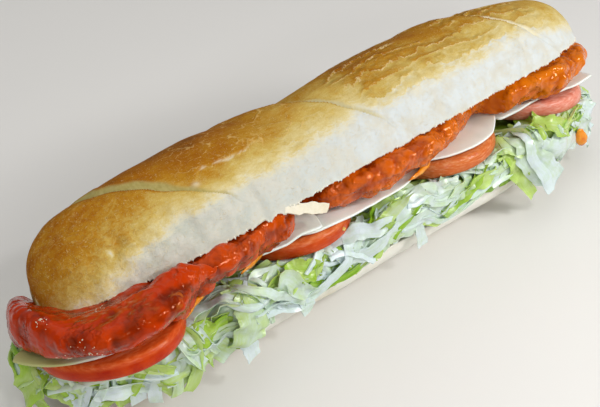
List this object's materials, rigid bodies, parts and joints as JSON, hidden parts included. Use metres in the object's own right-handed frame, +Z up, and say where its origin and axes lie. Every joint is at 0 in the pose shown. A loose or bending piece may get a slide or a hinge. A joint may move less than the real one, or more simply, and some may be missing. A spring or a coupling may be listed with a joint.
{
  "type": "submarine sandwich",
  "caption": "Long soft roll cut in two and filled with shredded lettuce, tomato, pale cheese and chicken strips in orange-red hot sauce; the slashed upper half leans back over the filling.",
  "frame": {"origin": "middle of the roll's flat underside", "axes": "+X along the roll, -Y towards the open front that shows the filling, +Z up"},
  "size_m": [0.3297, 0.0901, 0.0905],
  "materials": {
    "crust": "matte baked crust, brown on top and floury pale near the cut",
    "pale_crust": "matte pale crust",
    "lettuce": "moist pale green leaf",
    "tomato": "wet tomato flesh and skin",
    "cheese": "soft off-white cheese",
    "sauced_chicken": "glossy orange-red sauce over lumpy breading"
  },
  "bodies": {
    "root": {"bun_bottom": "pale_crust", "bun_top": "crust", "lettuce": "lettuce", "tomato_1": "tomato", "tomato_2": "tomato", "tomato_3": "tomato", "tomato_4": "tomato", "cheese_1": "cheese", "cheese_2": "cheese", "cheese_3": "cheese", "cheese_4": "cheese", "cheese_5": "cheese", "chicken_1": "sauced_chicken", "chicken_2": "sauced_chicken", "chicken_3": "sauced_chicken", "chicken_4": "sauced_chicken"}
  },
  "joints": []
}
